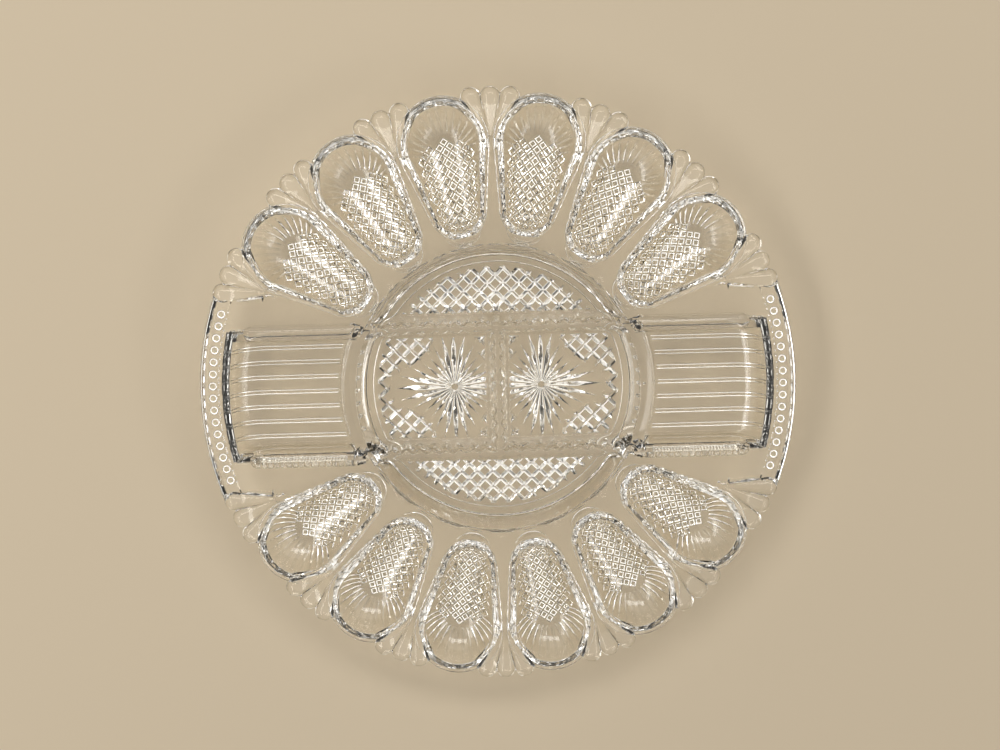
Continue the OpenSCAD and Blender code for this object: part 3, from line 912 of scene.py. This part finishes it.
def well_under_lines():
    """Rings on the foot and the wall, the lattice, the starbursts, and where they fade out."""
    rings = (-6.3, -5.5, -4.0, -3.75, -3.5, -3.3, 1.3, 1.5, 1.75, 2.0, 2.2, 2.6, 3.5, 4.7, 5.1, 5.5, 6.0)
    out = [ring(WELL_R + o, LINE_GAP) for o in rings]
    grid = lattice_lines()
    out += cut_apart(grid, in_segments) + cut_apart(grid, in_corner) + cut_apart(ray_lines(), in_middle)
    for o in (CUT_FROM_DIVIDER, CUT_FROM_DIVIDER + CUT_EDGE):
        for y in (RAIL_Y + o, RAIL_Y - o):
            x = math.sqrt(CUT_OUT_R ** 2 - y * y)
            out += mirrored([segment((0.0, y), (x, y), UNDER_GAP)])
        out += mirrored([segment((o, 0.0), (o, RAIL_Y - DIVIDER_W / 2), UNDER_GAP)])
    return out


def rib_lines():
    """Lines along each rib, close together at its edges."""
    out = []
    for k in range(-(RIB_COUNT // 2), RIB_COUNT // 2 + 1):
        for o in (-1.0, -0.96, -0.8, -0.45, 0, 0.45, 0.8, 0.96, 1.0):
            y = k * RIB_PITCH + o * RIB_R
            start = math.sqrt(RIB_START ** 2 - y * y)
            out += left_and_right([along_trough(start, RIB_END, y, UNDER_GAP)])
    return out


def trough_under_lines():
    """Arcs under the troughs, the ribs and the troughs' outer sides."""
    radii = [RIB_START, RIB_START + SHEER] + bend_radii(UNDER_BEND, range(0, 90, 8))
    half = TROUGH_HALF + TROUGH_LEAN + GLASS_T
    out = []
    for r in radii:
        out += both_ends([across_trough(r, half, gap=1.3)])
    offsets = (3.6, 4.1, 4.5, 4.9, 5.4, 6.0, 6.5)
    sides = [along_trough(RAIL_START, TROUGH_END + GLASS_T, TROUGH_HALF + o, UNDER_GAP) for o in offsets]
    return out + rib_lines() + mirrored(sides)


def grip_lines():
    """Levels of the beads under the handles."""
    out = []
    for k in range(-GRIPS, GRIPS + 1):
        for t in (20, 45, 65, 80, 90):
            level = ring(GRIP_R * math.sin(math.radians(t)), FINE_GAP, polar(GRIP_AT, k * GRIP_STEP))
            out += left_and_right([level])
    return out


def diamond_lines():
    """The top and the foot of each diamond, and the edges between them."""
    out = []
    for i in range(-FIELD_ROWS, FIELD_ROWS + 1):
        for j in range(-FIELD_ROWS, FIELD_ROWS + 1):
            a, b = i * DIAMOND, j * DIAMOND
            if in_field(a, b):
                inner, outer = square(a, b, DIAMOND_TOP), square(a, b, DIAMOND_FOOT)
                edges = [np.array([inner[c], outer[c]]) for c in range(4)]
                out += [q + (FIELD_AT, 0) for q in [inner, outer] + edges]
    return out


def flute_lines():
    """The middle and both edges of each flute."""
    out = []
    r = np.linspace(FLUTE_IN, FLUTE_OUT, 13)
    half = FLUTE_STEP / 2 * r * JUST_INSIDE
    for k in range(-(FLUTES // 2), FLUTES // 2 + 1):
        for o in (-FLUTE_HALF, 0, FLUTE_HALF):
            out.append(turned_back(r, np.clip(o, -half, half), k * FLUTE_STEP, (FLUTE_AT, 0)))
    return out


def shell_lines():
    """Edges of the land from below, levels of the shell, the diamonds and the flutes."""
    out = [pear_curve(grown(LAND, o), LINE_GAP) for o in (0, -0.7, -1.0, -1.5, -2.2)]
    for depth in (5.6, 6.3, 7.1, 8.1, 8.5, 9.0, 10.2, 11.8):
        out.append(pear_curve(sliced(SHELL, depth), LINE_GAP))
    return out + diamond_lines() + flute_lines()


def lower_lines():
    """All lines of the lower face."""
    out = well_under_lines() + trough_under_lines() + grip_lines()
    out += handle_arcs((BAND_R, HANDLE_R - 1.5, HANDLE_R - 0.7), UNDER_GAP)
    return out + placed(shell_lines(), CUPS) + placed(fan_lines(), FANS)


# Loose points on the smooth stretches

def grid_points():
    """A loose grid over the whole plate, for the plain stretches."""
    n = int(PLATE_R / LOOSE_GAP) + 1
    g = np.arange(-n, n + 1) * LOOSE_GAP
    x, y = np.meshgrid(g, g)
    x = x + (np.arange(len(g)) % 2 * LOOSE_GAP / 2)[:, None]
    return np.column_stack([x.ravel(), y.ravel()])


def pear_grid(pear, reach, bands):
    """Points on a round pear seen from above, dense where it turns steep."""
    xa, ra, xb, rb = pear
    t = np.linspace(0, math.pi, 30)
    half = len(t) // 2
    stations = np.concatenate([xa - ra * np.cos(t[:half]) * reach,
                               np.linspace(xa + 1.5, xb - 1.5, int((xb - xa) / 1.6)),
                               xb - rb * np.cos(t[half:]) * reach])
    out = []
    for u in np.unique(np.round(stations, 3)):
        w = pear_radius(np.array([u]), *pear)[0]
        out += [(u, w * math.sin(b)) for b in bands]
    return np.array(out)


def petal_points():
    """Points on the petals of all fans, dense where they turn steep."""
    out = []
    bands = np.radians([-84, -72, -56, -38, -20, 0, 20, 38, 56, 72, 84])
    bead = BEAD_R * np.sin(np.radians([18, 34, 48, 60, 70, 79]))
    for at, pear in PETALS:
        u = np.concatenate([np.linspace(0.5, pear[2], 14), pear[2] + bead])
        v = np.outer(pear_radius(u, *pear), np.sin(bands)).ravel()
        out.append(turned_back(np.repeat(u, len(bands)), v, at, (FAN_ROOT, 0)))
    return placed(out, FANS)


def upper_fill():
    """Loose points for the upper face."""
    cavity = pear_grid(CAVITY, 0.94, np.radians(np.linspace(-80, 80, 19)))
    arcs = [across_trough(r, TROUGH_HALF - 1.5, LOOSE_GAP) for r in (79, 83, 88, 93, 98, 103, 108)]
    return np.vstack([grid_points()] + petal_points() + both_ends(arcs) + placed([cavity], CUPS))


def round_field(q, more):
    """Whether each point lies in the oval round the diamonds, made larger by more."""
    return ((q[:, 0] - FIELD_AT) / (FIELD_U + more)) ** 2 + (q[:, 1] / (FIELD_V + more)) ** 2 < 1


def lower_fill():
    """Loose points for the lower face."""
    shell = pear_grid(SHELL, 0.98, np.radians(np.linspace(-86, 86, 21)))
    # Where four diamonds meet, and the middle of each one
    g = (np.arange(-FIELD_ROWS, FIELD_ROWS) + 0.5) * DIAMOND
    u, v = diagonal(*[q.ravel() for q in np.meshgrid(g, g)])
    knots = np.column_stack([u + FIELD_AT, v])
    inner = np.vstack([knots, knots + (DIAMOND / math.sqrt(2), 0)])
    cup = [shell[~round_field(shell, 2)], inner[round_field(inner, 1)]]
    arcs = [across_trough(r, TROUGH_HALF + 3, gap=2.4) for r in (80, 84, 89, 94, 99, 104, 109)]
    return np.vstack([grid_points()] + petal_points() + placed(cup, CUPS) + both_ends(arcs))


# The mesh

EDGE_CLEAR = 0.2
FILL_EDGE_CLEAR = 0.5
FILL_LINE_CLEAR = 0.7
FILL_CELL = 0.5
SAME_POINT = 1e-3
LEAST_RIM = 0.05
# How far the normals are read inside a triangle, over what step, and when they are left out
NORMAL_INSET = 0.15
NORMAL_STEP = 0.01
NORMAL_MATCH = 0.6
SMOOTH_BEND = 25


def tree_of(points):
    """A search tree over points in the plan."""
    tree = KDTree(len(points))
    for i, q in enumerate(points):
        tree.insert((q[0], q[1], 0), i)
    tree.balance()
    return tree


def spread_out(fill, lines):
    """Those of the loose points that keep clear of the outline, the lines and each other."""
    fill = fill[plate_distance(fill) < -FILL_EDGE_CLEAR]
    tree = tree_of(lines)
    fill = fill[[tree.find((q[0], q[1], 0))[2] > FILL_LINE_CLEAR for q in fill]]
    cell = np.round(fill / FILL_CELL).astype(np.int64)
    return fill[np.sort(np.unique(cell, axis=0, return_index=True)[1])]


def triangulate(outline, lines, fill):
    """Triangles over the plate's plan, along the outline and the lines of the carving.

    It also returns each point's number in the outline, or -1 for a point inside.
    """
    n = len(outline)
    lines = cut_apart(lines, lambda q: plate_distance(q) < -EDGE_CLEAR)
    fixed = np.vstack([outline] + lines)
    edges = [(i, (i + 1) % n) for i in range(n)]
    start = n
    for q in lines:
        edges += [(start + i, start + i + 1) for i in range(len(q) - 1)]
        start += len(q)
    points = [Vector(q) for q in np.vstack([fixed, spread_out(fill, fixed)])]
    verts, _, faces, sources, _, _ = delaunay_2d_cdt(points, edges, [], 1, SAME_POINT, True)
    xy, faces = np.array([(v.x, v.y) for v in verts]), np.array(faces)
    on_outline = [min([j for j in source if j < n], default=-1) for source in sources]
    return xy, faces[inside_outline(outline, xy[faces].mean(axis=1))], np.array(on_outline)


def inside_outline(outline, p):
    """Whether each point lies inside, tested against the outline's edge on the same ray from the middle."""
    n = len(outline)
    turns = np.arctan2(p[:, 1], p[:, 0]) / (2 * math.pi) % 1.0
    i = np.floor(turns * n - 0.5).astype(int) % n
    a, b = outline[i], outline[(i + 1) % n]
    return (b[:, 0] - a[:, 0]) * (p[:, 1] - a[:, 1]) - (b[:, 1] - a[:, 1]) * (p[:, 0] - a[:, 0]) > 0


def unit(vectors):
    """The vectors with length 1."""
    return vectors / np.maximum(np.linalg.norm(vectors, axis=1), 1e-12)[:, None]


def corner_normals(verts, tris, height, up):
    """Normals at the corners, from the slope of the face just inside each triangle."""
    corners = verts[tris]
    middle = corners[:, :, :2].mean(axis=1, keepdims=True)
    q = (corners[:, :, :2] * (1 - NORMAL_INSET) + middle * NORMAL_INSET).reshape(-1, 2)
    h = NORMAL_STEP
    slope_x = (height(q + (h, 0)) - height(q - (h, 0))) / (2 * h)
    slope_y = (height(q + (0, h)) - height(q - (0, h))) / (2 * h)
    smooth = unit(np.column_stack([-slope_x, -slope_y, np.ones(len(q))]) * up)
    flat = unit(np.cross(corners[:, 1] - corners[:, 0], corners[:, 2] - corners[:, 0]))
    flat = np.repeat(flat, 3, axis=0)
    # Where the slope is that of another face, the triangle's own normal is better
    off = (smooth * flat).sum(axis=1) < NORMAL_MATCH
    smooth[off] = flat[off]
    return smooth


def wall_normals(outline):
    """Outward normals at both ends of each outline edge, averaged where the outline runs smoothly on."""
    run = np.roll(outline, -1, axis=0) - outline
    out = unit(np.column_stack([run[:, 1], -run[:, 0]]))
    before, after = np.roll(out, 1, axis=0), np.roll(out, -1, axis=0)
    bend = math.cos(math.radians(SMOOTH_BEND))
    start = np.where(((out * before).sum(axis=1) > bend)[:, None], out + before, out)
    end = np.where(((out * after).sum(axis=1) > bend)[:, None], out + after, out)
    return unit(start), unit(end)


def outline_order(numbers, n):
    """The mesh points on the outline, in the outline's order."""
    out = np.full(n, -1)
    out[numbers[numbers >= 0]] = np.nonzero(numbers >= 0)[0]
    return out


def plate_mesh():
    """Points, triangles, wall faces and corner normals of the closed skin."""
    outline = outline_points()
    n = len(outline)
    top_xy, top_f, top_id = triangulate(outline, upper_lines(), upper_fill())
    low_xy, low_f, low_id = triangulate(outline, lower_lines(), lower_fill())
    top, low = np.column_stack([top_xy, upper(top_xy)]), np.column_stack([low_xy, lower(low_xy)])
    rim_up, rim_down = outline_order(top_id, n), outline_order(low_id, n)
    # The upper face stays over the lower one right up to the outline
    gap, mid = top[rim_up, 2] - low[rim_down, 2], (top[rim_up, 2] + low[rim_down, 2]) / 2
    close = gap < LEAST_RIM
    top[rim_up[close], 2] = mid[close] + LEAST_RIM / 2
    low[rim_down[close], 2] = mid[close] - LEAST_RIM / 2
    low_f = low_f[:, ::-1]
    normals = [corner_normals(top, top_f, upper, 1), corner_normals(low, low_f, lower, -1)]
    # The wall between the two faces
    rim_down = rim_down + len(top)
    wall = np.column_stack([np.roll(rim_up, -1), rim_up, rim_down, np.roll(rim_down, -1)])
    start, end = wall_normals(outline)
    sides = np.stack([end, start, start, end], axis=1).reshape(-1, 2)
    normals.append(np.column_stack([sides, np.zeros(len(sides))]))
    faces = top_f.tolist() + (low_f + len(top)).tolist() + wall.tolist()
    return np.vstack([top, low]), faces, np.vstack(normals)


def make_plate():
    """The plate's object, in metres."""
    verts, faces, normals = plate_mesh()
    mesh = bpy.data.meshes.new("glass_plate")
    mesh.from_pydata((verts * MM).tolist(), [], faces)
    mesh.shade_smooth()
    mesh.normals_split_custom_set(normals.tolist())
    plate = bpy.data.objects.new("glass_plate", mesh)
    bpy.context.collection.objects.link(plate)
    print("plate", len(mesh.vertices), "points", len(mesh.polygons), "faces")
    return plate


# Materials, floor, light and camera

def glass_material():
    """Clear glass, a little warm, with a fire-polished skin."""
    mat = bpy.data.materials.new("pressed_glass")
    mat.use_nodes = True
    nodes, links = mat.node_tree.nodes, mat.node_tree.links
    shader = nodes["Principled BSDF"]
    shader.inputs["Base Color"].default_value = (0.985, 0.97, 0.93, 1)
    shader.inputs["Transmission Weight"].default_value = 1.0
    shader.inputs["IOR"].default_value = 1.5
    # Faint ripples, and a little haze that comes and goes
    coord = nodes.new("ShaderNodeTexCoord")
    ripple = nodes.new("ShaderNodeTexNoise")
    ripple.inputs["Scale"].default_value = 90
    ripple.inputs["Detail"].default_value = 2
    bump = nodes.new("ShaderNodeBump")
    bump.inputs["Strength"].default_value = 0.05
    bump.inputs["Distance"].default_value = 0.0006
    haze = nodes.new("ShaderNodeTexNoise")
    haze.inputs["Scale"].default_value = 22
    spread = nodes.new("ShaderNodeMapRange")
    spread.inputs["To Min"].default_value = 0.004
    spread.inputs["To Max"].default_value = 0.03
    links.new(coord.outputs["Object"], ripple.inputs["Vector"])
    links.new(coord.outputs["Object"], haze.inputs["Vector"])
    links.new(ripple.outputs["Fac"], bump.inputs["Height"])
    links.new(bump.outputs["Normal"], shader.inputs["Normal"])
    links.new(haze.outputs["Fac"], spread.inputs["Value"])
    links.new(spread.outputs["Result"], shader.inputs["Roughness"])
    return mat


def floor_material():
    """A dull pale tan."""
    mat = bpy.data.materials.new("pale_floor")
    mat.use_nodes = True
    shader = mat.node_tree.nodes["Principled BSDF"]
    shader.inputs["Base Color"].default_value = (0.62, 0.52, 0.38, 1)
    shader.inputs["Roughness"].default_value = 0.9
    shader.inputs["Specular IOR Level"].default_value = 0.1
    return mat


# Half of the floor's side, in metres
FLOOR_HALF = 12.0


def make_floor():
    """The floor that the plate stands on."""
    s = FLOOR_HALF
    mesh = bpy.data.meshes.new("floor")
    mesh.from_pydata([(-s, -s, 0), (s, -s, 0), (s, s, 0), (-s, s, 0)], [], [(0, 1, 2, 3)])
    floor = bpy.data.objects.new("floor", mesh)
    bpy.context.collection.objects.link(floor)
    floor.data.materials.append(floor_material())


def make_world():
    """A pale world: the glass shows a white backdrop, and the light on the plate stays plain."""
    world = bpy.data.worlds.new("studio")
    world.use_nodes = True
    nodes, links = world.node_tree.nodes, world.node_tree.links
    nodes["Background"].inputs["Color"].default_value = (1, 0.97, 0.92, 1)
    path = nodes.new("ShaderNodeLightPath")
    seen = nodes.new("ShaderNodeMath")
    seen.operation = "MAXIMUM"
    through = nodes.new("ShaderNodeMath")
    through.operation = "MAXIMUM"
    strength = nodes.new("ShaderNodeMapRange")
    strength.inputs["To Min"].default_value = 0.4
    strength.inputs["To Max"].default_value = 1.0
    links.new(path.outputs["Is Camera Ray"], seen.inputs[0])
    links.new(path.outputs["Is Glossy Ray"], seen.inputs[1])
    links.new(seen.outputs["Value"], through.inputs[0])
    links.new(path.outputs["Is Transmission Ray"], through.inputs[1])
    links.new(through.outputs["Value"], strength.inputs["Value"])
    links.new(strength.outputs["Result"], nodes["Background"].inputs["Strength"])
    bpy.context.scene.world = world


# Soft boxes: name, place, width and height in metres, and power in watts
SOFT_BOXES = [
    ("top_box", (0.1, 0.85, 0.95), 1.5, 0.3, 6),
    ("left_box", (-0.85, -0.1, 0.95), 1.5, 0.3, 6),
    ("right_box", (0.9, -0.5, 0.7), 0.8, 0.25, 2),
]


def soft_box(name, place, wide, high, power):
    """An area light that faces the plate."""
    data = bpy.data.lights.new(name, "AREA")
    data.shape = "RECTANGLE"
    data.size = wide
    data.size_y = high
    data.energy = power
    lamp = bpy.data.objects.new(name, data)
    lamp.location = place
    lamp.rotation_euler = (-Vector(place)).to_track_quat("-Z", "Y").to_euler()
    bpy.context.collection.objects.link(lamp)


# The camera's focal length in pixels, and its place over the plate in millimetres and degrees
FOCAL_PX = 1438.3
IMAGE_W = 1000
SENSOR_W = 36.0
VIEW_SHIFT = (-0.96, -4.55)
VIEW_DISTANCE = 701.5
VIEW_TILT, VIEW_LEAN, VIEW_ROLL = 8.82, 0.06, 1.6


def make_camera():
    """The photograph's view of the plate."""
    data = bpy.data.cameras.new("camera")
    data.sensor_fit = "HORIZONTAL"
    data.sensor_width = SENSOR_W
    data.lens = FOCAL_PX / IMAGE_W * SENSOR_W
    camera = bpy.data.objects.new("camera", data)
    bpy.context.collection.objects.link(camera)
    turns = [(VIEW_ROLL, "Z"), (VIEW_TILT, "X"), (VIEW_LEAN, "Y")]
    roll, tilt, lean = [Matrix.Rotation(math.radians(angle), 4, axis) for angle, axis in turns]
    see = roll @ tilt @ lean
    see.translation = Vector((*VIEW_SHIFT, -VIEW_DISTANCE)) * MM
    camera.matrix_world = see.inverted()
    bpy.context.scene.camera = camera


make_camera()
make_floor()
make_world()
for box in SOFT_BOXES:
    soft_box(*box)
bpy.context.scene.view_settings.view_transform = "Standard"
plate = make_plate()
plate.data.materials.append(glass_material())
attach(plate, "root")
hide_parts(*[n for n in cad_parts])
